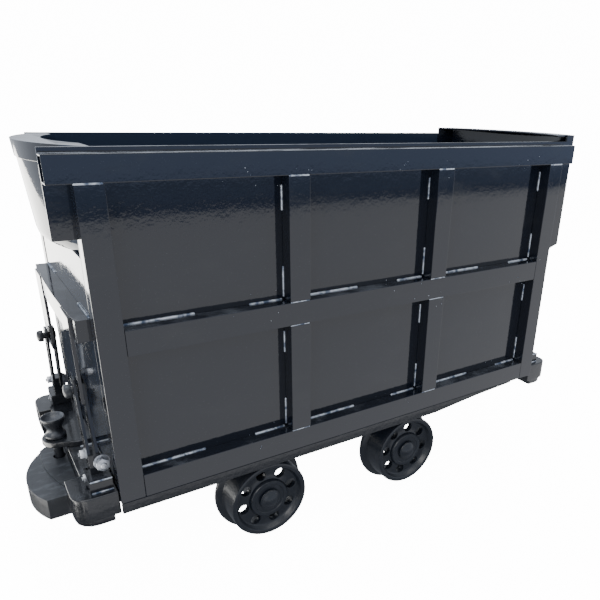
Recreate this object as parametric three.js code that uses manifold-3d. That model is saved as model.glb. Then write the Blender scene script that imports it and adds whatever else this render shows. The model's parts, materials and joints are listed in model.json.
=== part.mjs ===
// Box mine cart: a ribbed steel tub on a short underframe with four flanged wheels, a bumper and a
// coupling pin at each end. Millimetres, +Z up, +X along the rails. The origin is on the floor, under
// the middle of the tub, and the wheels stand on their flanges.
import * as THREE from 'three';
import { mergeVertices } from 'three/addons/utils/BufferGeometryUtils.js';
import Module from 'manifold-3d';

const wasm = await Module();
wasm.setup();

// ---- driving dimensions -------------------------------------------------------------------------
const GAP = 0.3; // between pieces that touch

const TUB_LENGTH = 1864; // over the end posts
const TUB_WIDTH = 840; // over the ribs
const RIB_WIDTH = 75;
const RIB_DEPTH = 50;
const RIB_WALL = 6;
const SHEET = 8; // side sheets, end walls and floor

const FLOOR_Z = 382; // underside of the tub
const BOTTOM_RAIL_TOP = 462;
const MID_RAIL_BOTTOM = 858;
const MID_RAIL_TOP = 938;
const TOP_RAIL_BOTTOM = 1335;
const TOP_RAIL_TOP = 1407;
const RIM_Z = 1420; // top edge of the sheets

// The left apron is short and its edges lie inside the tub. The right one stands out and up, so that it
// overlaps the next cart. Each is closed at its sides by cheeks, which are the side sheets run past the wall.
const ENDS = [
  { name: 'left', dir: -1, apronFoot: 1136, apronSide: -57, bulge: 131, rim: 1420 },
  { name: 'right', dir: 1, apronFoot: 990, apronSide: 108, bulge: 100, rim: 1445 },
];
// The top rail and the left cheek stand out past the end posts on the near side only.
const SIDES = [
  { name: 'near', dir: -1, overhang: 62 },
  { name: 'far', dir: 1, overhang: 0 },
];
const LEFT_CHEEK_FOOT = 1190;
const RIGHT_CHEEK = { reach: 113, foot: 968, chamfer: 18 };

const APRON = { back: -62, slope: 0.098, lip: 26, lipTuck: 14, rimWidth: 78 };
const RIM_BAND = { height: 50, thickness: 5 };

const SHELF = { top: 968, foot: 903, endReach: 40, middleReach: 50, halfWidth: 361 };
const LEG = { inner: 40, thickness: 10, from: 190, to: 310, foot: 692 };

const FORK = { plate: 9, clear: 2.5, width: 54, top: 758, foot: 505, topY: 254, footY: 318 };
const FORK_PIN = { y: 264, z: 724, radius: 12 };

const HEADSTOCK = { reach: 86, bottom: 343, top: 425, halfWidth: 408, wall: 10 };
const WING = { from: 262, reach: 132, corner: 48 }; // the headstock stands forward on both sides of the bumper
const FOOT_PLATE = { bottom: 321, from: 20, halfWidth: 404, reach: 128, corner: 60 };
const BRACKET = { inner: 9, outer: 76, from: 290, to: 384, height: 40 };
const SILL = { bottom: 345, thickness: 12, from: -931, bend: 350, rise: 581, to: 800 };
const BEAM = { inner: 200, outer: 250, bottom: 290, wall: 8 };
// The bumper head is a wide arc with a flat flank, and stands to one side of the pin.
const BUMPER = { top: 362, bottom: 288, flank: 250, centreX: -39, centreY: 108, radius: 267 };
const PAD = { height: 6, halfWidth: 200, reach: 82, bulge: 40 }; // raised seat on the bumper
const TONGUE = { thickness: 22, halfWidth: 52, rootHalfWidth: 78, rootReach: 50, nose: 154 };
const PIN_REACH = 109; // pin axis beyond the end of the tub
const PIN_HOLE_RADIUS = 20;
const PIN = { shank: 15.5, waist: 25, cup: 39, collar: 34, top: 524, foot: 300 };

const WHEELBASE = 650;
const WHEELSET_SHIFT = -89; // the wheelset sits towards the left end
const TREAD_RADIUS = 150;
const FLANGE_RADIUS = 175;
const WHEEL_FACE_Y = 385; // outer face of the wheels
const WHEEL_WIDTH = 120;
const TREAD_WIDTH = 90;
const WHEEL_FACETS = 36;
const WEB_HOLES = 8;
const WEB_HOLE_RADIUS = 20;
const WEB_HOLE_CIRCLE = 100;
const AXLE_RADIUS = 30;
const AXLE_Z = FLANGE_RADIUS;
const CAP_RADIUS = 40;

// ---- places worked out from them ------------------------------------------------------------------
const TUB_END = TUB_LENGTH / 2;
const SIDE_Y = TUB_WIDTH / 2;
const SHEET_OUTER_Y = SIDE_Y - RIB_DEPTH - GAP;
const SHEET_INNER_Y = SHEET_OUTER_Y - SHEET;
const INNER_HALF_WIDTH = SHEET_INNER_Y - GAP;
const WALL_FACE = -2; // outer face of the end wall, from the end of the tub
const BAY_PITCH = (TUB_LENGTH - RIB_WIDTH) / 3;
const WHEEL_XS = [WHEELSET_SHIFT - WHEELBASE / 2, WHEELSET_SHIFT + WHEELBASE / 2];

// ---- materials --------------------------------------------------------------------------------------
const paint = (color, roughness, metalness) => () => new THREE.MeshStandardMaterial({ color, roughness, metalness });
const tubPaint = paint(0x14181f, 0.22, 0.1);
const framePaint = paint(0x24272b, 0.4, 0.1);
const castPaint = paint(0x202226, 0.5, 0.2);
const pinSteel = paint(0x3c3f44, 0.45, 0.6);

const cart = new THREE.Group();

function addPiece(name, geometry, material, x = 0, y = 0, z = 0, turn = 0) {
  const mesh = new THREE.Mesh(geometry, material());
  mesh.name = name;
  mesh.position.set(x, y, z);
  mesh.rotation.z = turn;
  cart.add(mesh);
}

// ---- solids ---------------------------------------------------------------------------------------
function toSolid(geometry) {
  const bare = geometry.index ? geometry.toNonIndexed() : geometry.clone();
  bare.deleteAttribute('normal');
  bare.deleteAttribute('uv');
  const merged = mergeVertices(bare, 1e-3);
  const mesh = new wasm.Mesh({
    numProp: 3,
    vertProperties: new Float32Array(merged.attributes.position.array),
    triVerts: new Uint32Array(merged.index.array),
  });
  return new wasm.Manifold(mesh);
}

function toGeometry(solid) {
  const mesh = solid.getMesh();
  const geometry = new THREE.BufferGeometry();
  geometry.setAttribute('position', new THREE.BufferAttribute(new Float32Array(mesh.vertProperties), 3));
  geometry.setIndex(new THREE.BufferAttribute(new Uint32Array(mesh.triVerts), 1));
  geometry.computeVertexNormals();
  return geometry;
}

function join(first, ...others) {
  return toGeometry(others.reduce((solid, other) => solid.add(toSolid(other)), toSolid(first)));
}

function cut(first, ...others) {
  return toGeometry(others.reduce((solid, other) => solid.subtract(toSolid(other)), toSolid(first)));
}

function box(x0, x1, y0, y1, z0, z1) {
  const geometry = new THREE.BoxGeometry(x1 - x0, y1 - y0, z1 - z0);
  return geometry.translate((x0 + x1) / 2, (y0 + y1) / 2, (z0 + z1) / 2);
}

function extrude(points, depth) {
  const shape = new THREE.Shape(points.map(([x, y]) => new THREE.Vector2(x, y)));
  return new THREE.ExtrudeGeometry(shape, { depth, bevelEnabled: false });
}

// An outline in plan, from z0 up to z1.
function prism(points, z0, z1) {
  return extrude(points, z1 - z0).translate(0, 0, z0);
}

// An outline in the XZ plane, between y0 and y1.
function slab(points, y0, y1) {
  return extrude(points, y1 - y0).rotateX(Math.PI / 2).translate(0, y1, 0);
}

// An outline in the YZ plane, between x0 and x1.
function crossPlate(points, x0, x1) {
  const axes = [new THREE.Vector3(0, 1, 0), new THREE.Vector3(0, 0, 1), new THREE.Vector3(1, 0, 0)];
  return extrude(points, x1 - x0).applyMatrix4(new THREE.Matrix4().makeBasis(...axes)).translate(x0, 0, 0);
}

function upright(radius, z0, z1, x = 0, y = 0, facets = 24) {
  const geometry = new THREE.CylinderGeometry(radius, radius, z1 - z0, facets);
  return geometry.rotateX(Math.PI / 2).translate(x, y, (z0 + z1) / 2);
}

function lyingAlongX(radius, x0, x1, y, z, facets = 20) {
  const geometry = new THREE.CylinderGeometry(radius, radius, x1 - x0, facets);
  return geometry.rotateZ(Math.PI / 2).translate((x0 + x1) / 2, y, z);
}

function lyingAlongY(radius, y0, y1, x, z, facets = 24) {
  return new THREE.CylinderGeometry(radius, radius, y1 - y0, facets).translate(x, (y0 + y1) / 2, z);
}

// A closed solid through rings of equal point count, one ring at each height.
function loft(rings, heights) {
  const count = rings[0].length;
  const positions = rings.flatMap((ring, k) => ring.flatMap(([x, y]) => [x, y, heights[k]]));
  const faces = [];
  for (let k = 0; k + 1 < rings.length; k += 1) {
    for (let i = 0; i < count; i += 1) {
      const j = (i + 1) % count;
      const [a, b, c, d] = [k * count + i, k * count + j, (k + 1) * count + j, (k + 1) * count + i];
      faces.push(a, b, c, a, c, d);
    }
  }
  const top = (rings.length - 1) * count;
  const flat = rings[0].map(([x, y]) => new THREE.Vector2(x, y));
  for (const [a, b, c] of THREE.ShapeUtils.triangulateShape(flat, [])) {
    faces.push(c, b, a, top + a, top + b, top + c);
  }
  const geometry = new THREE.BufferGeometry();
  geometry.setAttribute('position', new THREE.Float32BufferAttribute(positions, 3));
  geometry.setIndex(faces);
  return geometry;
}

// Points along an arc from y = -half to y = half whose middle stands out to x = crown.
function bow(half, sagitta, crown, inset = 0, steps = 24) {
  const radius = (half * half + sagitta * sagitta) / (2 * sagitta);
  const sweep = Math.asin(Math.min(1, half / (radius - inset)));
  return Array.from({ length: steps + 1 }, (_, i) => {
    const angle = -sweep + (2 * sweep * i) / steps;
    return [crown - radius + (radius - inset) * Math.cos(angle), (radius - inset) * Math.sin(angle)];
  });
}

// A pressed channel, open at the back: length along X, width along Z, front face on y = 0.
function channel(length, width) {
  const w = width / 2;
  const [depth, wall] = [RIB_DEPTH, RIB_WALL];
  const profile = [
    [-w, 0], [w, 0], [w, depth], [w - wall, depth],
    [w - wall, wall], [-w + wall, wall], [-w + wall, depth], [-w, depth],
  ];
  return extrude(profile, length).translate(0, 0, -length / 2).rotateY(Math.PI / 2);
}

// ---- tub sides ---------------------------------------------------------------------------------------
function sideSheet(side) {
  const { reach, foot, chamfer } = RIGHT_CHEEK;
  const rim = ENDS[1].rim;
  const step = TUB_END + side.overhang + 6;
  const tip = TUB_END + reach;
  const points = [
    [-TUB_END, FLOOR_Z], [TUB_END, FLOOR_Z], [TUB_END, foot], [tip - 3 * chamfer, foot],
    [tip, foot + chamfer], [tip, rim], [step, rim], [step, RIM_Z],
  ];
  if (side.overhang > 0) {
    const cheek = -TUB_END - side.overhang;
    points.push([cheek, RIM_Z], [cheek, LEFT_CHEEK_FOOT], [-TUB_END, LEFT_CHEEK_FOOT]);
  } else {
    points.push([-TUB_END, RIM_Z]);
  }
  return slab(points, -SHEET / 2, SHEET / 2);
}

function addSide(side) {
  const turn = side.dir < 0 ? 0 : Math.PI;
  const faceY = side.dir * SIDE_Y;
  const rail = (name, length, z0, z1) => {
    addPiece(`${name}_${side.name}`, channel(length, z1 - z0), tubPaint, 0, faceY, (z0 + z1) / 2, turn);
  };
  const post = (name, x, z0, z1) => {
    const geometry = channel(z1 - z0 - 2 * GAP, RIB_WIDTH).rotateY(Math.PI / 2);
    addPiece(`${name}_${side.name}`, geometry, tubPaint, x, faceY, (z0 + z1) / 2, turn);
  };

  addPiece(`side_sheet_${side.name}`, sideSheet(side), tubPaint, 0, side.dir * (SHEET_OUTER_Y - SHEET / 2));
  rail('top_rail', TUB_LENGTH + 2 * side.overhang, TOP_RAIL_BOTTOM, TOP_RAIL_TOP);
  rail('mid_rail', TUB_LENGTH - 2 * (RIB_WIDTH + GAP), MID_RAIL_BOTTOM, MID_RAIL_TOP);
  rail('bottom_rail', TUB_LENGTH - 2 * (RIB_WIDTH + GAP), FLOOR_Z, BOTTOM_RAIL_TOP);

  for (const end of ENDS) {
    post(`end_post_${end.name}`, end.dir * (TUB_END - RIB_WIDTH / 2), FLOOR_Z, TOP_RAIL_BOTTOM);
    post(`lower_rib_${end.name}`, (end.dir * BAY_PITCH) / 2, BOTTOM_RAIL_TOP, MID_RAIL_BOTTOM);
    post(`upper_rib_${end.name}`, (end.dir * BAY_PITCH) / 2, MID_RAIL_TOP, TOP_RAIL_BOTTOM);
  }
}

// ---- tub ends: built for the right end, measured outwards from the end of the tub -------------------
function endWall(end) {
  return box(WALL_FACE - SHEET, WALL_FACE, -INNER_HALF_WIDTH, INNER_HALF_WIDTH, FLOOR_Z, end.apronFoot - GAP);
}

// A bowed plate that closes the mouth above the end wall. It leans out, has a rounded foot, a band
// round its brim and a wide rim folded inwards.
function apron(end) {
  const half = INNER_HALF_WIDTH;
  const foot = end.apronFoot;
  const sagittaAt = (z) => end.bulge - APRON.slope * (end.rim - z);
  const plan = (sagitta, { extra = 0, inset = 0, back = APRON.back } = {}) => [
    ...bow(half, sagitta, end.apronSide + sagitta + extra, inset), [back, half], [back, -half],
  ];
  const bandZ = end.rim - RIM_BAND.height;
  const lipZ = foot + APRON.lip;
  const lip = sagittaAt(lipZ);
  const band = { extra: RIM_BAND.thickness };
  const skin = loft([
    plan(lip - APRON.lipTuck), plan(lip - APRON.lipTuck / 3), plan(lip), plan(sagittaAt(bandZ)),
    plan(sagittaAt(bandZ), band), plan(sagittaAt(end.rim), band),
  ], [foot, foot + APRON.lip / 3, lipZ, bandZ, bandZ + 1, end.rim]);
  const hollow = { inset: SHEET, back: APRON.back - 200 };
  const pocket = loft([
    plan(lip - APRON.lipTuck / 2, hollow), plan(lip, hollow), plan(sagittaAt(end.rim - SHEET), hollow),
  ], [foot + SHEET, lipZ, end.rim - SHEET]);
  const opening = plan(end.bulge, { inset: APRON.rimWidth, back: APRON.back - 200 });
  return cut(skin, pocket, prism(opening, end.rim - SHEET - 1, end.rim + 1));
}

// A ledge across the end wall: a top plate with a folded skirt, and two legs that hang from it.
function endShelf() {
  const { top, foot, endReach, middleReach, halfWidth } = SHELF;
  const edge = (inset) => bow(halfWidth - inset, middleReach - endReach, middleReach - inset);
  const seat = WALL_FACE + GAP;
  const outer = [...edge(0), [seat, halfWidth], [seat, -halfWidth]];
  const inner = [...edge(SHEET), [seat - 1, halfWidth - SHEET], [seat - 1, SHEET - halfWidth]];
  const ledge = cut(prism(outer, foot, top), prism(inner, foot - 1, top - SHEET));
  const legs = SIDES.map(({ dir }) => {
    const [y0, y1] = [dir * LEG.from, dir * LEG.to].sort((a, b) => a - b);
    return box(LEG.inner, LEG.inner + LEG.thickness, y0, y1, LEG.foot, top - SHEET / 2);
  });
  const eyes = SIDES.map(({ dir }) => {
    return lyingAlongX(FORK_PIN.radius + GAP, LEG.inner - 1, LEG.inner + LEG.thickness + 1, dir * FORK_PIN.y, FORK_PIN.z);
  });
  return cut(join(ledge, ...legs), ...eyes);
}

// Two leaning plates that grip a leg, a pin through both, and a foot that stands on the headstock.
function tieFork(dir) {
  const inner = LEG.inner - FORK.clear - FORK.plate;
  const outer = LEG.inner + LEG.thickness + FORK.clear;
  const halfWidth = FORK.width / 2;
  const outline = [
    [dir * (FORK.footY - halfWidth), FORK.foot - 5], [dir * (FORK.footY + halfWidth), FORK.foot - 5],
    [dir * (FORK.topY + halfWidth), FORK.top - 12], [dir * (FORK.topY + halfWidth - 12), FORK.top],
    [dir * (FORK.topY - halfWidth + 12), FORK.top], [dir * (FORK.topY - halfWidth), FORK.top - 12],
  ];
  const points = dir > 0 ? outline : outline.reverse();
  const y0 = dir * FORK.footY - halfWidth;
  const foot = box(inner, outer + FORK.plate, y0, y0 + FORK.width, HEADSTOCK.top + GAP, FORK.foot + 30);
  const plates = [inner, outer].map((x) => crossPlate(points, x, x + FORK.plate));
  const pin = lyingAlongX(FORK_PIN.radius, inner - 4, outer + FORK.plate + 24, dir * FORK_PIN.y, FORK_PIN.z);
  const [b0, b1] = [dir * BRACKET.from, dir * BRACKET.to].sort((a, b) => a - b);
  const bracket = box(BRACKET.inner, BRACKET.outer, b0, b1, HEADSTOCK.top + GAP, HEADSTOCK.top + BRACKET.height);
  return join(foot, bracket, ...plates, pin);
}

// ---- underframe -------------------------------------------------------------------------------------
// Half of a plan outline: from the flank inwards along a rounded front corner, for the given sign of Y.
function roundedCorner(sign, reach, halfWidth, corner) {
  return [0, 1, 2, 3, 4].map((i) => {
    const angle = (sign < 0 ? -90 + i * 22.5 : i * 22.5) * (Math.PI / 180);
    return [reach - corner + corner * Math.cos(angle), sign * (halfWidth - corner) + corner * Math.sin(angle)];
  });
}

// Plan of a cross member whose two wings pass the flanks of the bumper.
function wingedPlan(back, reach, halfWidth, corner) {
  const { from } = WING;
  const mouth = HEADSTOCK.reach;
  return [
    [back, -halfWidth], ...roundedCorner(-1, reach, halfWidth, corner), [reach, -from], [mouth, -from],
    [mouth, from], [reach, from], ...roundedCorner(1, reach, halfWidth, corner), [back, halfWidth],
  ];
}

// A cross member pressed as a channel open at the bottom, with closed ends.
function headstock() {
  const { reach, bottom, top, halfWidth, wall } = HEADSTOCK;
  const body = prism(wingedPlan(GAP, WING.reach, halfWidth, WING.corner), bottom, top);
  return cut(body, box(GAP + wall, reach - wall, wall - halfWidth, halfWidth - wall, bottom - 1, top - wall));
}

function footPlate() {
  const { bottom, from, halfWidth, reach, corner } = FOOT_PLATE;
  return prism(wingedPlan(from, reach, halfWidth, corner), bottom, HEADSTOCK.bottom - GAP);
}

function bumper() {
  const { top, bottom, flank, centreX, centreY, radius } = BUMPER;
  const x0 = HEADSTOCK.reach + GAP;
  const first = -Math.acos((x0 - centreX) / radius);
  const last = Math.asin((flank - centreY) / radius);
  const steps = 32;
  const arc = Array.from({ length: steps + 1 }, (_, i) => {
    const angle = first + ((last - first) * i) / steps;
    return [centreX + radius * Math.cos(angle), centreY + radius * Math.sin(angle)];
  });
  const outline = [...arc, [x0, flank]];
  const head = prism(outline, bottom, top);
  const padFront = bow(PAD.halfWidth, PAD.bulge, x0 + PAD.reach);
  const padPlan = prism([...padFront, [x0, PAD.halfWidth], [x0, -PAD.halfWidth]], top - 1, top + PAD.height);
  const pad = toGeometry(toSolid(padPlan).intersect(toSolid(prism(outline, top - 1, top + PAD.height))));
  const hole = upright(PIN_HOLE_RADIUS, bottom - 1, top + PAD.height + 1, PIN_REACH);
  return cut(join(head, pad), hole);
}

// The upper plate of the coupling, rounded at its nose, with the guide hole for the pin.
function tongue() {
  const z0 = HEADSTOCK.top + GAP;
  const { thickness, halfWidth, rootHalfWidth, rootReach } = TONGUE;
  const nose = Array.from({ length: 13 }, (_, i) => {
    const angle = -Math.PI / 2 + (Math.PI * i) / 12;
    return [TONGUE.nose - halfWidth * (1 - Math.cos(angle)), halfWidth * Math.sin(angle)];
  });
  const plate = prism([
    ...nose, [rootReach, rootHalfWidth], [GAP, rootHalfWidth], [GAP, -rootHalfWidth], [rootReach, -rootHalfWidth],
  ], z0, z0 + thickness);
  return cut(plate, upright(PIN_HOLE_RADIUS, z0 - 1, z0 + thickness + 1, PIN_REACH));
}

// A turned pin with a dished cup for the hand, a waist, and a collar that rests on the tongue.
function couplingPin() {
  const seat = HEADSTOCK.top + TONGUE.thickness + 2 * GAP;
  const { shank, waist, cup, collar, top, foot } = PIN;
  const profile = [
    [0, foot], [shank - 4, foot], [shank, foot + 8], [shank, seat], [collar, seat], [collar, seat + 14],
    [waist, seat + 22], [waist, seat + 36], [cup, top - 12], [cup, top], [cup - 8, top], [shank, top - 10], [0, top - 12],
  ];
  const points = profile.map(([r, z]) => new THREE.Vector2(r, z));
  return new THREE.LatheGeometry(points, 28).rotateX(Math.PI / 2);
}

function sill() {
  const { bottom, from, bend, rise, to, thickness } = SILL;
  const top = FLOOR_Z - GAP;
  const points = [[from, bottom], [bend, bottom], [rise, bottom + 21], [to, top - 4], [to, top], [from, top]];
  return slab(points, -thickness / 2, thickness / 2);
}

// A longitudinal channel under the floor, open towards the middle of the cart.
function frameBeam(dir) {
  const length = TUB_END - GAP;
  const [y0, y1] = [dir * BEAM.inner, dir * BEAM.outer].sort((a, b) => a - b);
  const z1 = FLOOR_Z - GAP;
  const body = box(-length, length, y0, y1, BEAM.bottom, z1);
  const [c0, c1] = dir > 0 ? [y0 - 1, y1 - BEAM.wall] : [y0 + BEAM.wall, y1 + 1];
  return cut(body, box(-length - 1, length + 1, c0, c1, BEAM.bottom + BEAM.wall, z1 - BEAM.wall));
}

// A block that hangs from a beam and carries the axle.
function axleSeat() {
  const halfWidth = (BEAM.outer - BEAM.inner) / 2;
  const top = BEAM.bottom - GAP - AXLE_Z;
  const points = [[-60, top], [-60, top - 30], [-48, -20], [-25, -48], [25, -48], [48, -20], [60, top - 30], [60, top]];
  const bore = lyingAlongY(AXLE_RADIUS + GAP, -halfWidth - 1, halfWidth + 1, 0, 0);
  return cut(slab(points, -halfWidth, halfWidth), bore);
}

// ---- running gear ------------------------------------------------------------------------------------
// Turned about Y with its outer face on y = 0 and its flange towards +Y. The facets lie flat on the rail.
function wheel() {
  const r = 1 / Math.cos(Math.PI / WHEEL_FACETS);
  const bore = (AXLE_RADIUS + GAP) * r;
  const profile = [
    [bore, 8], [75, 8], [75, 25], [128, 25], [131, 3], [TREAD_RADIUS * r - 4, 0], [TREAD_RADIUS * r, 5],
    [TREAD_RADIUS * r, TREAD_WIDTH], [FLANGE_RADIUS * r, TREAD_WIDTH + 8], [FLANGE_RADIUS * r, WHEEL_WIDTH - 4],
    [FLANGE_RADIUS * r - 6, WHEEL_WIDTH], [128, WHEEL_WIDTH], [128, 48], [68, 48], [60, WHEEL_WIDTH], [bore, WHEEL_WIDTH],
  ];
  const points = [...profile, profile[0]].map(([radius, y]) => new THREE.Vector2(radius, y));
  const turned = new THREE.LatheGeometry(points, WHEEL_FACETS).rotateY(Math.PI / WHEEL_FACETS);
  const holes = Array.from({ length: WEB_HOLES }, (_, i) => {
    const angle = ((i + 0.5) * 2 * Math.PI) / WEB_HOLES;
    const [x, z] = [WEB_HOLE_CIRCLE * Math.cos(angle), WEB_HOLE_CIRCLE * Math.sin(angle)];
    return lyingAlongY(WEB_HOLE_RADIUS, 20, 53, x, z, 12);
  });
  return cut(turned, ...holes);
}

function hubCap() {
  const profile = [[0, -16], [14, -14.5], [25, -9], [32, -2], [CAP_RADIUS, -1], [CAP_RADIUS, 7.7], [0, 7.7]];
  return new THREE.LatheGeometry(profile.map(([radius, y]) => new THREE.Vector2(radius, y)), 28);
}

// ---- assembly ----------------------------------------------------------------------------------------
for (const side of SIDES) {
  addSide(side);
  addPiece(`sill_${side.name}`, sill(), framePaint, 0, side.dir * (SIDE_Y - SILL.thickness / 2));
  addPiece(`frame_beam_${side.name}`, frameBeam(side.dir), framePaint);
}

const floorHalfLength = TUB_END + WALL_FACE - SHEET - GAP;
addPiece('floor_plate', box(
  -floorHalfLength, floorHalfLength, -INNER_HALF_WIDTH, INNER_HALF_WIDTH, FLOOR_Z, FLOOR_Z + SHEET,
), tubPaint);

for (const end of ENDS) {
  const turn = end.dir < 0 ? Math.PI : 0;
  const put = (name, geometry, material) => {
    addPiece(`${name}_${end.name}`, geometry, material, end.dir * TUB_END, 0, 0, turn);
  };
  put('end_wall', endWall(end), tubPaint);
  put('apron', apron(end), tubPaint);
  put('end_shelf', endShelf(), tubPaint);
  put('headstock', headstock(), framePaint);
  put('foot_plate', footPlate(), framePaint);
  put('bumper', bumper(), castPaint);
  put('tongue', tongue(), framePaint);
  addPiece(`coupling_pin_${end.name}`, couplingPin(), pinSteel, end.dir * (TUB_END + PIN_REACH));
  for (const side of SIDES) {
    const localDir = side.dir * end.dir;
    addPiece(`tie_fork_${end.name}_${side.name}`, tieFork(localDir), framePaint, end.dir * TUB_END, 0, 0, turn);
  }
}

ENDS.forEach((end, i) => {
  const x = WHEEL_XS[i];
  addPiece(`axle_${end.name}`, lyingAlongY(AXLE_RADIUS, -WHEEL_FACE_Y + 12, WHEEL_FACE_Y - 12, 0, 0), pinSteel, x, 0, AXLE_Z);
  for (const side of SIDES) {
    const turn = side.dir < 0 ? 0 : Math.PI;
    const label = `${end.name}_${side.name}`;
    addPiece(`axle_seat_${label}`, axleSeat(), framePaint, x, (side.dir * (BEAM.inner + BEAM.outer)) / 2, AXLE_Z);
    addPiece(`wheel_${label}`, wheel(), castPaint, x, side.dir * WHEEL_FACE_Y, AXLE_Z, turn);
    addPiece(`hub_cap_${label}`, hubCap(), castPaint, x, side.dir * WHEEL_FACE_Y, AXLE_Z, turn);
  }
});

export default cart;
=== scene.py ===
# Mine cart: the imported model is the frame, and every visible piece is finished around it here.
import json
import math
import random

import bpy
from mathutils import Matrix, Vector


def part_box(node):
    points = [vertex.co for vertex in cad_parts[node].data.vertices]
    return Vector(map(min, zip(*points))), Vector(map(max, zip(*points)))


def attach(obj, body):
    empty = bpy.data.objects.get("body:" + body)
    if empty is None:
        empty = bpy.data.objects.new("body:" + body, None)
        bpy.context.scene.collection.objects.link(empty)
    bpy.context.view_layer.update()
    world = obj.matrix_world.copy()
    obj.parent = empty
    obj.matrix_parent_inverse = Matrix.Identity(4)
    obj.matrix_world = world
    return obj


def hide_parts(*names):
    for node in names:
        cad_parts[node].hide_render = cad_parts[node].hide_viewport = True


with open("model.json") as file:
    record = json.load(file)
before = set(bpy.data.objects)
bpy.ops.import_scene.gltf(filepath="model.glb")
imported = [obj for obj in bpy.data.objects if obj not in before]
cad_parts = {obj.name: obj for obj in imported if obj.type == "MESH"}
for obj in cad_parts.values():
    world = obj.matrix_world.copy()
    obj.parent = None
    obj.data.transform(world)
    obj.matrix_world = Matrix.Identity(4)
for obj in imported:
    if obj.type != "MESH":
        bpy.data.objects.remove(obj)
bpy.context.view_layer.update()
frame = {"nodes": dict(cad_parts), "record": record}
RECORD = frame["record"]
NODES = frame["nodes"]
BODY_OF = {node: body for body, nodes in RECORD["behaviour"]["bodies"].items() for node in nodes}
SLOT_OF = {part["node"]: part["material_slot"] for part in RECORD["subparts"]}
TUB = "tub_and_frame"
MM = 0.001
SIDES = {"near": -1, "far": 1}
ENDS = {"left": -1, "right": 1}

# Places on the cart that several pieces share, in metres.
SHEET_Y = 0.3697  # outer face of the side sheets
FACE_Y = 0.42  # outer face of the ribs and rails
RIB = 0.075
BAY = 0.5963
POST_XS = [-0.932, -0.932 + BAY, -0.932 + 2 * BAY, 0.857]  # left edges of the posts and ribs
BOTTOM_RAIL_TOP = 0.462
MID_RAIL = (0.858, 0.938)
TOP_RAIL = 1.335
HEADSTOCK_TOP = 0.4262  # with the gap that lets a bead lie on it
FORK_FOOT_Y = 0.318
FORK_PIN = (0.264, 0.724)  # y and z


# ---- selection and small steps -----------------------------------------------------------------

def lone(obj):
    """Selects one object and nothing else."""
    if bpy.context.object and bpy.context.object.mode != "OBJECT":
        bpy.ops.object.mode_set(mode="OBJECT")
    bpy.ops.object.select_all(action="DESELECT")
    obj.select_set(True)
    bpy.context.view_layer.objects.active = obj
    return obj


def edit(obj, select="SELECT"):
    lone(obj)
    bpy.ops.object.mode_set(mode="EDIT")
    bpy.ops.mesh.select_all(action=select)


def leave():
    bpy.ops.object.mode_set(mode="OBJECT")


def fresh(name):
    """Names the primitive that was just added."""
    obj = bpy.context.object
    obj.name = name
    obj.data.name = name
    return obj


def settle(obj):
    """Puts an object's place, turn and size into its mesh."""
    lone(obj)
    bpy.ops.object.transform_apply(location=True, rotation=True, scale=True)
    return obj


def modify(obj, kind, **settings):
    lone(obj)
    modifier = obj.modifiers.new(kind.title(), kind)
    for key, value in settings.items():
        setattr(modifier, key, value)
    bpy.ops.object.modifier_apply(modifier=modifier.name)
    return obj


def rounded(obj, width, segments=2, angle=30):
    return modify(
        obj, "BEVEL", width=width, segments=segments, limit_method="ANGLE",
        angle_limit=math.radians(angle), harden_normals=False, use_clamp_overlap=True,
        miter_outer="MITER_ARC",
    )


def smooth(obj, angle=35):
    lone(obj)
    bpy.ops.object.shade_smooth_by_angle(angle=math.radians(angle))
    return obj


def join(name, pieces):
    bpy.ops.object.select_all(action="DESELECT")
    for piece in pieces:
        piece.select_set(True)
    bpy.context.view_layer.objects.active = pieces[0]
    if len(pieces) > 1:
        bpy.ops.object.join()
    return fresh(name)


def copied(master, name, place):
    """A copy of a finished piece with its own mesh, moved by a matrix."""
    twin = master.copy()
    twin.data = master.data.copy()
    bpy.context.scene.collection.objects.link(twin)
    twin.name = twin.data.name = name
    twin.data.transform(place)
    if place.determinant() < 0:
        twin.data.flip_normals()
    return twin


def dropped(obj):
    bpy.data.objects.remove(obj, do_unlink=True)


def handed_over(obj, body, slot, finish, *nodes):
    """Gives a finished piece its material, its body and the CAD nodes it stands for; the slot is not used."""
    obj.data.materials.clear()
    obj.data.materials.append(finish)
    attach(obj, body)
    if nodes:
        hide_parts(*nodes)
    return obj


# ---- shader maths ----------------------------------------------------------------------------------

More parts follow.
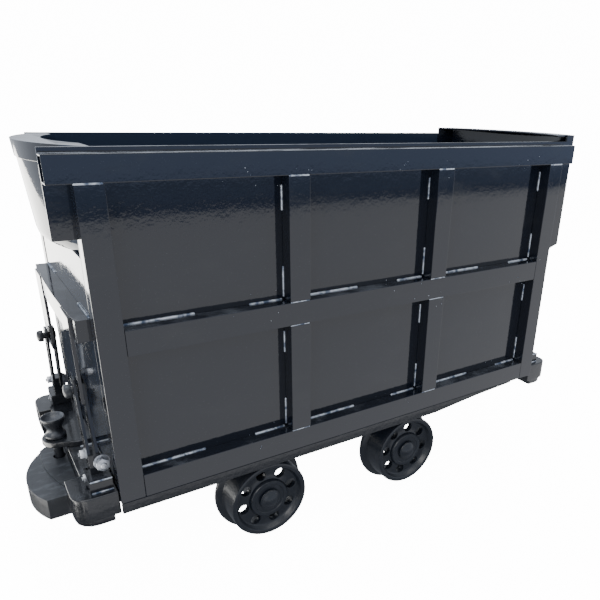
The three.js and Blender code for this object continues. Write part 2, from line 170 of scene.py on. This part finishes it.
class Wire:
    """An output socket of a material, on which sums read as plain arithmetic."""

    def __init__(self, socket):
        self.socket = socket
        self.tree = socket.id_data

    def node(self, kind, settings=None, inputs=None, output=0):
        made = self.tree.nodes.new(kind)
        for key, value in (settings or {}).items():
            if key == "stops":
                ramp = made.color_ramp
                for _ in range(len(value) - len(ramp.elements)):
                    ramp.elements.new(0.5)
                for element, (position, colour) in zip(ramp.elements, value):
                    element.position = position
                    element.color = colour
            else:
                setattr(made, key, value)
        for key, value in (inputs or {}).items():
            if isinstance(value, Wire):
                self.tree.links.new(value.socket, made.inputs[key])
            else:
                made.inputs[key].default_value = value
        return Wire(made.outputs[output])

    def _math(self, operation, first, second):
        return self.node("ShaderNodeMath", {"operation": operation}, {0: first, 1: second})

    def __add__(self, other):
        return self._math("ADD", self, other)

    def __radd__(self, other):
        return self._math("ADD", other, self)

    def __sub__(self, other):
        return self._math("SUBTRACT", self, other)

    def __rsub__(self, other):
        return self._math("SUBTRACT", other, self)

    def __mul__(self, other):
        return self._math("MULTIPLY", self, other)

    def __rmul__(self, other):
        return self._math("MULTIPLY", other, self)

    def between(self, low, high):
        """0 below low, 1 above high and a soft step between them."""
        return self.node(
            "ShaderNodeMapRange", {"interpolation_type": "SMOOTHSTEP"},
            {"Value": self, "From Min": low, "From Max": high},
        )

    def size(self):
        return self.node("ShaderNodeMath", {"operation": "ABSOLUTE"}, {0: self})

    def part(self, axis):
        return self.node("ShaderNodeSeparateXYZ", inputs={"Vector": self}, output=axis)

    def stretched(self, x, y, z):
        return self.node("ShaderNodeVectorMath", {"operation": "MULTIPLY"}, {0: self, 1: (x, y, z)})

    def noise(self, scale, detail=2.0, roughness=0.5):
        return self.node(
            "ShaderNodeTexNoise", {"noise_dimensions": "3D"},
            {"Vector": self, "Scale": scale, "Detail": detail, "Roughness": roughness},
        )

    def mixed(self, first, second):
        """Colour first where this is 0 and second where it is 1."""
        made = self.tree.nodes.new("ShaderNodeMix")
        made.data_type = "RGBA"
        sockets = [s for s in made.inputs if s.enabled]
        for socket, value in zip(sockets, (self, first, second)):
            if isinstance(value, Wire):
                self.tree.links.new(value.socket, socket)
            else:
                socket.default_value = value if isinstance(value, float) else (*value, 1.0)[:4]
        return Wire([s for s in made.outputs if s.enabled][0])

    def bump(self, distance, strength=1.0, below=None):
        inputs = {"Height": self, "Distance": distance, "Strength": strength}
        if below is not None:
            inputs["Normal"] = below
        return self.node("ShaderNodeBump", inputs=inputs)


def new_finish(name, **constants):
    """An empty material, its Principled shader with fixed values, and its Object coordinates."""
    material = bpy.data.materials.new(name)
    material.use_nodes = True
    tree = material.node_tree
    shader = tree.nodes["Principled BSDF"]
    for key, value in constants.items():
        shader.inputs[key.replace("_", " ")].default_value = value
    place = Wire(tree.nodes.new("ShaderNodeTexCoord").outputs["Object"])

    def feed(**links):
        for key, wire in links.items():
            tree.links.new(wire.socket, shader.inputs[key.replace("_", " ")])
        return material

    return place, feed


def facing(place):
    """The surface's own direction, for dust that lies on what looks up."""
    return place.node("ShaderNodeNewGeometry", output="Normal").part(2)


def gloss_enamel(name, paint, haze, roughness, peel, dust):
    """Thick black enamel with orange peel, slow waves, rubbed haze and dust on top faces, and a painted sheen that
    makes it paler inside the tub.
    """
    place, feed = new_finish(name, Coat_Weight=0.35, Coat_Roughness=0.03, IOR=1.5)
    waves = place.noise(2.6, 1.0)
    orange = place.noise(120.0, 2.0)
    crawl = place.noise(34.0, 3.0, 0.6)
    rubbed = place.stretched(1.0, 1.0, 2.5).noise(5.0, 4.0, 0.62).between(0.5, 0.78)
    specks = place.noise(420.0, 1.0).between(0.72, 0.8)
    streaks = place.stretched(1.5, 9.0, 9.0).noise(3.4, 4.0, 0.65).between(0.4, 0.58)
    film = place.noise(9.0, 4.0, 0.6).between(0.45, 0.75)
    on_rail = place.part(2).between(1.38, 1.4)
    patches = streaks * on_rail + film * (1.0 - on_rail) * 0.22
    lying = facing(place).between(0.75, 0.97) * patches * dust
    colour = rubbed.mixed(paint, haze)
    colour = (specks * 0.5).mixed(colour, (0.09, 0.1, 0.11))
    colour = lying.mixed(colour, (0.34, 0.37, 0.42))
    # Painted sheen: inside the side sheets and end walls the enamel is painted paler, standing in for the lighter
    # sheen that the inside of the tub shows.
    past_sheet = place.part(1).size().between(0.3635, 0.3675)
    past_wall = place.part(0).size().between(0.928, 0.932)
    colour = ((1.0 - past_sheet) * (1.0 - past_wall)).mixed(colour, (0.02, 0.03, 0.052))
    rough = roughness + rubbed * 0.1 + lying * 0.35 + crawl * 0.03
    normal = waves.bump(0.001, 0.5)
    normal = crawl.bump(0.0009, peel, normal)
    normal = orange.bump(0.00035, peel, normal)
    return feed(Base_Color=colour, Roughness=rough, Normal=normal)


def cast_paint(name, paint, worn, roughness):
    """Paint over a rough casting, rubbed thin on what looks up."""
    place, feed = new_finish(name, Coat_Weight=0.15, Coat_Roughness=0.12, IOR=1.5)
    grain = place.noise(260.0, 3.0, 0.6)
    lumps = place.noise(36.0, 3.0)
    scuffs = place.stretched(1.0, 2.4, 1.0).noise(16.0, 5.0, 0.68).between(0.5, 0.68)
    rub = facing(place).between(0.55, 0.95) * (0.35 + scuffs * 0.65)
    chips = place.noise(48.0, 4.0, 0.7).between(0.66, 0.7)
    colour = rub.mixed(paint, worn)
    colour = (scuffs * 0.35).mixed(colour, worn)
    colour = (chips * 0.8).mixed(colour, (0.012, 0.012, 0.014))
    rough = roughness + scuffs * 0.16 + grain * 0.08
    normal = lumps.bump(0.002, 0.5)
    normal = grain.bump(0.0005, 0.6, normal)
    return feed(Base_Color=colour, Roughness=rough, Normal=normal)


def bright_steel(name, light, dark, roughness, grain_size):
    """Bare or plated steel with fine grain and darker soot in patches."""
    place, feed = new_finish(name, Metallic=0.85)
    grain = place.noise(grain_size, 3.0, 0.6)
    soot = place.noise(42.0, 3.0, 0.6).between(0.42, 0.66)
    colour = soot.mixed(light, dark)
    rough = roughness + grain * 0.22 + soot * 0.12
    return feed(Base_Color=colour, Roughness=rough, Normal=grain.bump(0.0006, 0.7))


TUB_ENAMEL = gloss_enamel(
    "tub gloss enamel", (0.0065, 0.009, 0.0155), (0.011, 0.0135, 0.019), roughness=0.045, peel=0.3, dust=0.95,
)
FRAME_ENAMEL = gloss_enamel(
    "frame gloss enamel", (0.008, 0.0095, 0.013), (0.016, 0.017, 0.02), roughness=0.16, peel=0.9, dust=0.7,
)
CAST_PAINT = cast_paint("painted casting", (0.016, 0.018, 0.022), (0.085, 0.095, 0.11), 0.3)
WHEEL_PAINT = cast_paint("painted wheel", (0.006, 0.009, 0.015), (0.02, 0.023, 0.03), 0.28)
PIN_STEEL = cast_paint("handled pin", (0.02, 0.022, 0.027), (0.16, 0.175, 0.2), 0.24)
AXLE_STEEL = bright_steel("turned axle", (0.16, 0.165, 0.175), (0.06, 0.06, 0.065), 0.3, 300.0)
WELD_METAL = bright_steel("painted weld metal", (0.62, 0.66, 0.72), (0.1, 0.13, 0.19), 0.22, 380.0)
BOLT_METAL = bright_steel("plated bolts", (0.6, 0.62, 0.66), (0.2, 0.21, 0.23), 0.24, 500.0)

FINISH_OF_SLOT = {
    "tub_enamel": TUB_ENAMEL, "frame_enamel": FRAME_ENAMEL,
    "cast_parts": CAST_PAINT, "bare_steel": AXLE_STEEL,
}


# ---- pieces that keep the CAD shape, with their corners rounded --------------------------------------

def finished_copy(node, corner, segments=2, finish=None):
    """A clean copy of a CAD node with its corners rounded, which then stands for it."""
    piece = copied(NODES[node], f"{node}_finished", Matrix.Identity(4))
    piece.parent = None
    for key in list(piece.keys()):
        del piece[key]
    edit(piece)
    bpy.ops.mesh.remove_doubles(threshold=0.00005)
    bpy.ops.mesh.dissolve_limited(angle_limit=math.radians(0.6))
    bpy.ops.mesh.customdata_custom_splitnormals_clear()
    leave()
    rounded(piece, corner, segments)
    smooth(piece)
    modify(piece, "WEIGHTED_NORMAL", keep_sharp=True, mode="FACE_AREA", weight=100)
    slot = SLOT_OF[node]
    return handed_over(piece, BODY_OF[node], slot, finish or FINISH_OF_SLOT[slot], node)


def corner_of(node):
    """How round each kind of piece is at its corners, in metres."""
    sizes = {
        "side_sheet": 1.5, "floor_plate": 1.5, "end_wall": 1.5, "apron": 2.0, "end_shelf": 2.5,
        "headstock": 4.0,
        "foot_plate": 3.0, "bumper": 7.0, "tongue": 3.5, "tie_fork": 2.0, "axle_seat": 4.0, "sill": 2.0,
        "frame_beam": 2.6, "top_rail": 2.6, "mid_rail": 2.6, "bottom_rail": 2.6, "end_post": 2.6,
        "lower_rib": 2.6, "upper_rib": 2.6,
    }
    for kind, size in sizes.items():
        if node.startswith(kind):
            return size * MM
    return None


for node_name in sorted(NODES):
    corner = corner_of(node_name)
    if corner is not None:
        finished_copy(node_name, corner, 3 if node_name.startswith(("bumper", "headstock")) else 2)


# ---- turned pieces -----------------------------------------------------------------------------------

def turned(name, profile, facets=72):
    """A solid turned about Y: (radius, y) pairs in millimetres. One that ends where it starts has a bore."""
    hollow = profile[0] == profile[-1]
    radius, y = profile[0]
    bpy.ops.mesh.primitive_circle_add(
        vertices=facets, radius=radius * MM, fill_type="NOTHING" if hollow else "NGON",
        location=(0, y * MM, 0), rotation=(math.pi / 2, 0, 0),
    )
    piece = settle(fresh(name))
    edit(piece)
    for next_radius, next_y in profile[1:]:
        step = (0, (next_y - y) * MM, 0)
        if hollow:
            bpy.ops.mesh.extrude_edges_move(TRANSFORM_OT_translate={"value": step})
        else:
            bpy.ops.mesh.extrude_region_move(TRANSFORM_OT_translate={"value": step})
        scale = next_radius / radius
        bpy.ops.transform.resize(value=(scale, 1, scale), center_override=(0, next_y * MM, 0))
        radius, y = next_radius, next_y
    bpy.ops.mesh.select_all(action="SELECT")
    bpy.ops.mesh.remove_doubles(threshold=0.00002)
    bpy.ops.mesh.normals_make_consistent(inside=False)
    leave()
    return piece


def centre_of(node):
    low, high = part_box(node)
    return (low + high) / 2


def bored(piece, cutters):
    cutter = join("cutter", cutters)
    modify(piece, "BOOLEAN", operation="DIFFERENCE", object=cutter, solver="EXACT")
    dropped(cutter)
    return piece


WEB_HOLES = 8


def wheel_master():
    """A flanged wheel, outer face on y = 0 and flange towards +Y."""
    profile = [
        (30.4, 9), (58, 9), (60, 7), (72, 7), (75, 10), (77, 22), (82, 25), (119, 25), (125, 21), (130, 4),
        (133, 1), (144, 0), (148, 2), (150, 7), (150, 84), (154, 91), (165, 95), (170, 97), (174, 101),
        (175, 106), (174, 113), (170, 118), (164, 120), (134, 120), (130, 116), (127, 54), (121, 48),
        (76, 48),
        (70, 54), (61, 117), (58, 120), (30.4, 120), (30.4, 9),
    ]
    piece = turned("wheel_master", profile, 96)
    cutters = []
    for i in range(WEB_HOLES):
        angle = (i + 0.5) * 2 * math.pi / WEB_HOLES
        bpy.ops.mesh.primitive_cylinder_add(
            vertices=28, radius=20 * MM, depth=60 * MM, rotation=(math.pi / 2, 0, 0),
            location=(0.1 * math.cos(angle), 0.036, 0.1 * math.sin(angle)),
        )
        cutters.append(fresh("hole"))
    bored(piece, cutters)
    return smooth(rounded(piece, 1.2 * MM, 2, 50), 40)


def cap_master():
    profile = [
        (39, 7.6), (40, 6.5), (40, 0.5), (39, -1), (34, -1.5), (31, -3.5), (27, -8), (21, -12), (13, -15),
        (5, -16.4),
    ]
    return smooth(turned("cap_master", profile, 56), 30)


def bolt_master(name, across, height):
    """A hexagon head on a washer, along +Y."""
    bpy.ops.mesh.primitive_cylinder_add(
        vertices=6, radius=across * MM / math.sqrt(3), depth=height * MM, rotation=(math.pi / 2, 0, 0),
        location=(0, -height * MM / 2 - 2.5 * MM, 0),
    )
    head = settle(fresh("head"))
    rounded(head, 1.6 * MM, 2)
    brim, thread = across * 0.64, across * 0.24
    washer = turned("washer", [(across * 0.62, 0.5), (brim, 0), (brim, -2), (across * 0.6, -2.6)], 32)
    shank = turned("stub", [(thread, -height), (thread, -height - 6), (across * 0.2, -height - 7.5)], 20)
    return smooth(join(name, [head, washer, shank]), 30)


wheel = wheel_master()
cap = cap_master()
for end in ENDS:
    for side, sign in SIDES.items():
        label = f"{end}_{side}"
        low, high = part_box(f"wheel_{label}")
        middle = (low + high) / 2
        face = low.y if sign < 0 else high.y
        turn = Matrix.Rotation(0 if sign < 0 else math.pi, 4, "Z")
        twist = Matrix.Rotation(math.radians(9 if end == "left" else 31), 4, "Y")
        place = Matrix.Translation((middle.x, face, middle.z)) @ turn @ twist
        rim = copied(wheel, f"wheel_{label}_turned", place)
        handed_over(rim, f"wheel_{label}_set", "cast_parts", WHEEL_PAINT, f"wheel_{label}")
        dome = copied(cap, f"hub_cap_{label}_domed", place)
        handed_over(dome, f"wheel_{label}_set", "cast_parts", WHEEL_PAINT, f"hub_cap_{label}")
dropped(wheel)
dropped(cap)

for end in ENDS:
    middle = centre_of(f"axle_{end}")
    profile = [(26, -373), (30, -369), (30, 369), (26, 373)]
    shaft = smooth(turned(f"axle_{end}_turned", profile, 40), 40)
    shaft.data.transform(Matrix.Translation(middle))
    handed_over(shaft, TUB, "bare_steel", AXLE_STEEL, f"axle_{end}")

for end in ENDS:
    low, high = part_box(f"coupling_pin_{end}")
    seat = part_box(f"tongue_{end}")[1].z / MM + 0.3
    top, foot = high.z / MM, low.z / MM
    profile = [
        (9, foot), (13, foot + 2), (15.5, foot + 9), (15.5, seat + 0.1),
        (31, seat + 0.1), (34, seat + 3), (34, seat + 11), (31, seat + 14.5),
        (26, seat + 20), (24.5, seat + 26), (24.5, seat + 33), (27, seat + 41), (33, seat + 52),
        (38, top - 10), (39, top - 5), (38.2, top - 1), (36, top),
        (33, top - 1), (29, top - 6), (22, top - 11), (12, top - 13), (3, top - 13.6),
    ]
    pin = turned(f"coupling_pin_{end}_turned", [(radius, height) for radius, height in profile], 56)
    foot_place = Matrix.Translation(((low.x + high.x) / 2, (low.y + high.y) / 2, 0))
    pin.data.transform(foot_place @ Matrix.Rotation(math.pi / 2, 4, "X"))
    smooth(pin, 40)
    handed_over(pin, f"pin_{end}", "bare_steel", PIN_STEEL, f"coupling_pin_{end}")


# ---- bolts and pins of the tie forks -------------------------------------------------------------------

bolt = bolt_master("bolt_master", 26, 14)
button_profile = [(20, 0.4), (21, -1), (21, -13), (19, -17), (14, -20), (6, -21.5)]
button = smooth(turned("button_master", button_profile, 40), 40)
for end, out in ENDS.items():
    for side, sign in SIDES.items():
        low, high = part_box(f"tie_fork_{end}_{side}")
        outer_x = (low.x if out < 0 else high.x) - out * 24 * MM
        spin_out = Matrix.Rotation(-math.pi / 2 if out < 0 else math.pi / 2, 4, "Z")
        foot_y = sign * FORK_FOOT_Y
        places = [
            Matrix.Translation((outer_x, foot_y - sign * 0.008, 0.528)) @ spin_out,
            Matrix.Translation((outer_x + out * 0.0025, foot_y, 0.447)) @ spin_out,
        ]
        to_side = Matrix.Rotation(0 if sign < 0 else math.pi, 4, "Z")
        side_place = Matrix.Translation((outer_x - out * 0.036, foot_y + sign * 0.027, 0.505))
        places.append(side_place @ to_side @ Matrix.Scale(1.5, 4))
        heads = [copied(bolt, f"fork_bolt_{i}", place) for i, place in enumerate(places)]
        hardware = join(f"fork_bolts_{end}_{side}", heads)
        handed_over(hardware, TUB, "bare_steel", BOLT_METAL)
        pin_place = Matrix.Translation((outer_x + out * 0.006, sign * FORK_PIN[0], FORK_PIN[1]))
        knob = copied(button, f"fork_pin_head_{end}_{side}", pin_place @ spin_out)
        handed_over(knob, TUB, "frame_enamel", CAST_PAINT)
dropped(bolt)
dropped(button)


# ---- weld beads ------------------------------------------------------------------------------------------

def bead(start, end, width, height, out=(0, -1, 0)):
    """A run of overlapping weld ripples from start to end, in metres, standing out along out."""
    start, end, out = Vector(start), Vector(end), Vector(out).normalized()
    length = (end - start).length
    pitch = 4.2 * MM
    bpy.ops.mesh.primitive_uv_sphere_add(segments=10, ring_count=6, radius=1.0)
    ripple = fresh("ripple")
    ripple.scale = (4.6 * MM, width / 2, height)
    settle(ripple)
    count = max(2, round(length / pitch))
    modify(ripple, "ARRAY", count=count, use_relative_offset=False, use_constant_offset=True,
           constant_offset_displace=(length / count, 0, 0))
    along = (end - start).normalized()
    across = out.cross(along)
    turn = Matrix((along, across, out)).transposed().to_4x4()
    ripple.data.transform(Matrix.Translation(start) @ turn)
    return ripple


def side_beads(sign):
    """The stitch welds that hold the ribs and rails of one side to each other and to its sheet."""
    beads = []
    corner = (0, sign, 1)
    edge_y = sign * (SHEET_Y + 1.2 * MM)
    face_y = sign * FACE_Y
    for left, right in zip(POST_XS, POST_XS[1:]):
        x0, x1 = left + RIB, right
        bay = x1 - x0
        for z in (MID_RAIL[1], BOTTOM_RAIL_TOP):
            for start, end in ((x0 + 0.004, x0 + 0.42 * bay), (x1 - 0.23 * bay, x1 - 0.006)):
                beads.append(bead((start, edge_y, z), (end, edge_y, z), 11 * MM, 5.5 * MM, corner))
        for z0, z1 in ((MID_RAIL[1], TOP_RAIL), (BOTTOM_RAIL_TOP, MID_RAIL[0])):
            for x, lean in ((x0, 1), (x1, -1)):
                out = (lean, sign, 0)
                low, high = z0 + 0.012, z1 - 0.03
                beads.append(bead((x, edge_y, low), (x, edge_y, low + 0.1), 8 * MM, 4 * MM, out))
                beads.append(bead((x, edge_y, high - 0.075), (x, edge_y, high), 8 * MM, 4 * MM, out))
    for i, x in enumerate(POST_XS):
        start, end = x + 0.004, x + RIB - 0.004
        heights = [TOP_RAIL] if i in (0, 3) else [TOP_RAIL, MID_RAIL[1], MID_RAIL[0], BOTTOM_RAIL_TOP]
        for z in heights:
            thick = 5.5 if z == TOP_RAIL else 3.6
            beads.append(bead((start, face_y, z), (end, face_y, z), thick * MM, 1.5 * MM, (0, sign, 0)))
    return beads


def end_beads(out):
    """The welds of one end: the shelf, the tongue, the brackets of the tie forks and the bumper."""
    beads = []
    wall, shelf_top = out * 0.931, 0.9695
    tongue_y, bracket_y, bracket_top = 0.081, 0.3855, 0.4655
    for sign in (-1, 1):
        aside = (0, sign, 1)
        beads.append(bead(
            (wall, sign * 0.35, shelf_top), (wall, sign * 0.2, shelf_top), 8 * MM, 4 * MM, (out, 0, 1),
        ))
        beads.append(bead(
            (out * 0.935, sign * tongue_y, HEADSTOCK_TOP), (out * 0.98, sign * tongue_y, HEADSTOCK_TOP),
            8 * MM, 5 * MM, aside,
        ))
        for y, z, width, height in ((bracket_y, HEADSTOCK_TOP, 7, 4), (bracket_y - 0.001, bracket_top, 6, 3)):
            beads.append(bead(
                (out * 0.944, sign * y, z), (out * 1.006, sign * y, z), width * MM, height * MM, aside,
            ))
    head_x, head_top = out * 1.0195, 0.3635
    beads.append(bead(
        (head_x, out * 0.256, head_top), (head_x, out * 0.203, head_top), 8 * MM, 5 * MM, (out, 0, 1),
    ))
    return beads


def spatter(sign, seed):
    """Beads of spatter that the welding left round the corners."""
    draw = random.Random(seed)
    drops = []
    for _ in range(70):
        x = draw.choice(POST_XS[1:]) + draw.uniform(-0.2, 0.09)
        z = draw.choice((MID_RAIL[1], MID_RAIL[0], BOTTOM_RAIL_TOP, TOP_RAIL)) + draw.uniform(-0.035, 0.035)
        on_rib = any(left <= x <= left + RIB for left in POST_XS)
        on_rail = MID_RAIL[0] < z < MID_RAIL[1] or z < BOTTOM_RAIL_TOP or z > TOP_RAIL
        y = sign * (FACE_Y if on_rib or on_rail else SHEET_Y)
        radius = draw.uniform(0.7, 1.9) * MM
        bpy.ops.mesh.primitive_ico_sphere_add(subdivisions=1, radius=radius, location=(x, y, z))
        drops.append(settle(fresh("drop")))
    return drops


for side, sign in SIDES.items():
    run = smooth(join(f"weld_beads_{side}", side_beads(sign)), 60)
    handed_over(run, TUB, "bare_steel", WELD_METAL)
    drops = smooth(join(f"weld_spatter_{side}", spatter(sign, 11 + sign)), 60)
    handed_over(drops, TUB, "bare_steel", WELD_METAL)
for end, out in ENDS.items():
    run = smooth(join(f"weld_beads_{end}_end", end_beads(out)), 60)
    handed_over(run, TUB, "bare_steel", WELD_METAL)


# ---- camera, floor and light -------------------------------------------------------------------------------

def backdrop_finish():
    """A pale floor and sky that glow, so that the cart stands on plain white."""
    place, feed = new_finish("pale floor", Roughness=0.9, Emission_Color=(1, 1, 1, 1), Emission_Strength=14.0)
    return feed(Base_Color=place.noise(1.3, 2.0).mixed((0.86, 0.86, 0.86), (0.843, 0.843, 0.843)))


pale = backdrop_finish()
bpy.ops.mesh.primitive_plane_add(size=60, location=(0, 0, 0))
floor = fresh("floor")
bpy.ops.mesh.primitive_uv_sphere_add(segments=48, ring_count=24, radius=42, location=(0, 0, 0))
dome = fresh("pale backdrop")
dome.visible_shadow = False
for sheet in (floor, dome):
    sheet.data.materials.append(pale)
    sheet.visible_glossy = False
    sheet.visible_diffuse = False


def card(name, place, size, look_at, colour, strength):
    """A glowing card that only shows in the gloss of the paint. With nothing to look at, it lies flat."""
    bpy.ops.mesh.primitive_plane_add(size=1, location=place)
    sheet = fresh(name)
    sheet.scale = (size[0], size[1], 1)
    if look_at is not None:
        sheet.rotation_euler = (Vector(look_at) - Vector(place)).to_track_quat("Z", "Y").to_euler()
    material = bpy.data.materials.new(name)
    material.use_nodes = True
    shader = material.node_tree.nodes["Principled BSDF"]
    shader.inputs["Base Color"].default_value = (0, 0, 0, 1)
    shader.inputs["Roughness"].default_value = 1.0
    shader.inputs["Specular IOR Level"].default_value = 0.0
    shader.inputs["Emission Color"].default_value = (*colour, 1)
    shader.inputs["Emission Strength"].default_value = strength
    sheet.data.materials.append(material)
    sheet.visible_camera = False
    sheet.visible_diffuse = False
    sheet.visible_shadow = False
    sheet.visible_transmission = False


card("ground in front", (0, -3.9, 0.001), (44, 7.0), None, (0.99, 1.0, 1.04), 1.15)
card("dark ground beyond", (0, -13.0, 0.001), (60, 11.0), None, (0.13, 0.17, 0.29), 1.0)
card("dark flag front", (0, -8.5, 0.18), (44, 0.36), (0, 0, 0.18), (0.26, 0.33, 0.5), 1.0)
card("blue flag front", (0, -8.5, 0.72), (44, 0.72), (0, 0, 0.72), (0.5, 0.62, 0.92), 1.1)
card("shade in front of the wheels", (-0.05, -0.3, 0.002), (2.7, 1.26), None, (0.3, 0.32, 0.36), 1.0)
card("ground by the left end", (-2.7, 7.0, 0.001), (3.0, 16.0), None, (1.0, 0.99, 0.95), 7.0)
card("shade by the left end", (-1.3, 0.8, 0.003), (0.72, 3.2), None, (0.05, 0.06, 0.08), 1.0)

CAMERA_PLACE = Vector((-1.1954, -2.0390, 1.5291))
HEADING, DIP, ROLL = (math.radians(a) for a in (34.57, 22.85, 1.68))
ahead = Vector((math.sin(HEADING) * math.cos(DIP), math.cos(HEADING) * math.cos(DIP), -math.sin(DIP)))
level = Vector((math.cos(HEADING), -math.sin(HEADING), 0))
above = level.cross(ahead)
right = level * math.cos(ROLL) + above * math.sin(ROLL)
up = above * math.cos(ROLL) - level * math.sin(ROLL)
bpy.ops.object.camera_add()
camera = bpy.context.object
camera.name = "camera"
camera.matrix_world = Matrix.Translation(CAMERA_PLACE) @ Matrix((right, up, -ahead)).transposed().to_4x4()
camera.data.sensor_fit = "HORIZONTAL"
camera.data.sensor_width = 36.0
camera.data.lens = 35.32
camera.data.shift_x = -0.0906
camera.data.shift_y = 0.0918
camera.data.clip_end = 200
bpy.context.scene.camera = camera


def soft_light(name, place, look_at, size, power, colour):
    bpy.ops.object.light_add(type="AREA", location=place)
    lamp = bpy.context.object
    lamp.name = name
    lamp.data.shape = "RECTANGLE"
    lamp.data.size, lamp.data.size_y = size
    lamp.data.energy = power
    lamp.data.color = colour
    lamp.rotation_euler = (Vector(look_at) - Vector(place)).to_track_quat("-Z", "Y").to_euler()


soft_light("overhead softbox", (0.5, 0.5, 6.0), (0, 0, 0.6), (7, 7), 300, (1.0, 0.99, 0.97))
soft_light("front left softbox", (-5.0, -4.0, 4.2), (0, 0, 0.7), (3, 3), 120, (1.0, 0.98, 0.95))

world = bpy.data.worlds.new("studio")
bpy.context.scene.world = world
world.use_nodes = True
backdrop = world.node_tree.nodes["Background"]
backdrop.inputs["Color"].default_value = (0.84, 0.9, 1.0, 1.0)
backdrop.inputs["Strength"].default_value = 0.9
